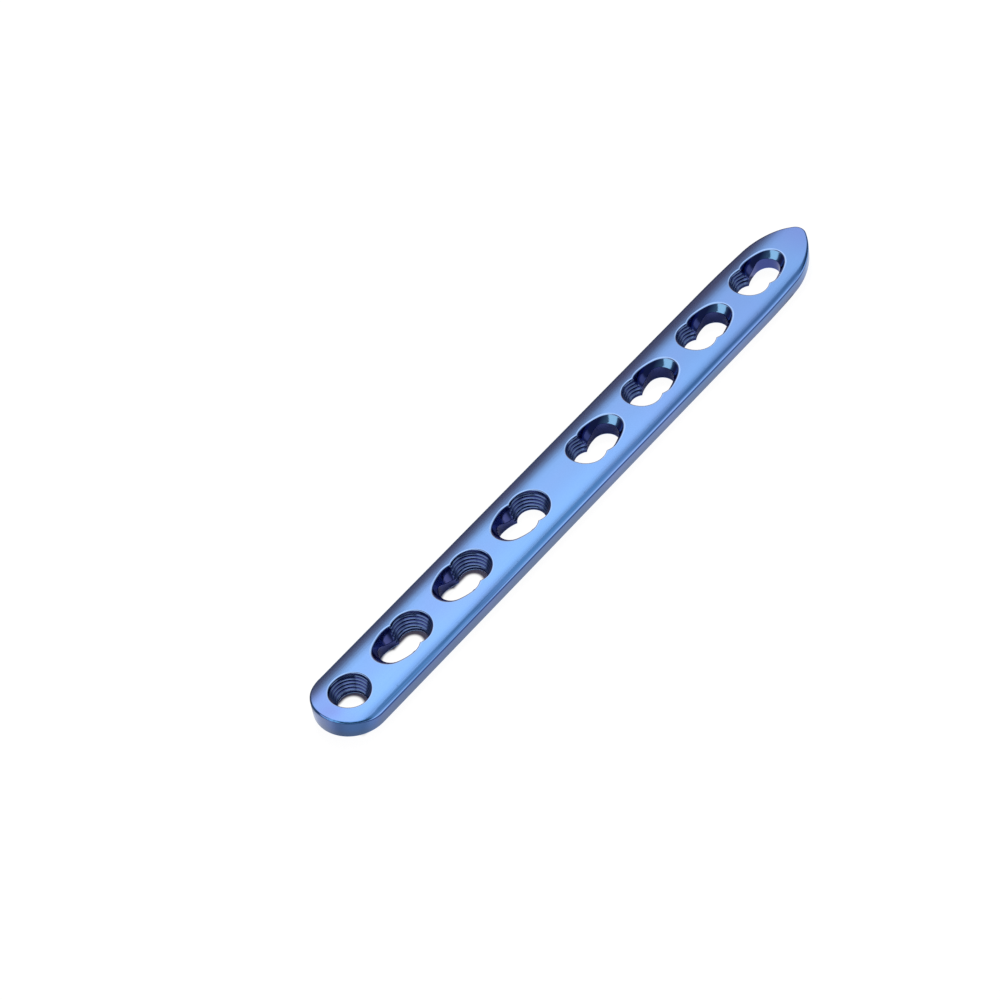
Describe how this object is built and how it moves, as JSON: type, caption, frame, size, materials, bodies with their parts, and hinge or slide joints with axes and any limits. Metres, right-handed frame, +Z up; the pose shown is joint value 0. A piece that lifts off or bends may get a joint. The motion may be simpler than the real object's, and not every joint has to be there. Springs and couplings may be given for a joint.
{
  "type": "orthopedic bone plate",
  "caption": "Straight titanium locking compression plate for small bone fragments, with a round end, a pointed end and a row of screw holes.",
  "frame": {"origin": "middle of the plate's length and width, on the flat underside", "axes": "+X along the plate towards the pointed end, +Y across it, +Z up through its thickness, out of the crowned face"},
  "size_m": [0.1096, 0.011, 0.0033],
  "materials": {
    "anodised_titanium": "polished titanium alloy with a clear blue anodised film"
  },
  "bodies": {
    "root": {"bone_plate": "anodised_titanium"}
  },
  "joints": []
}
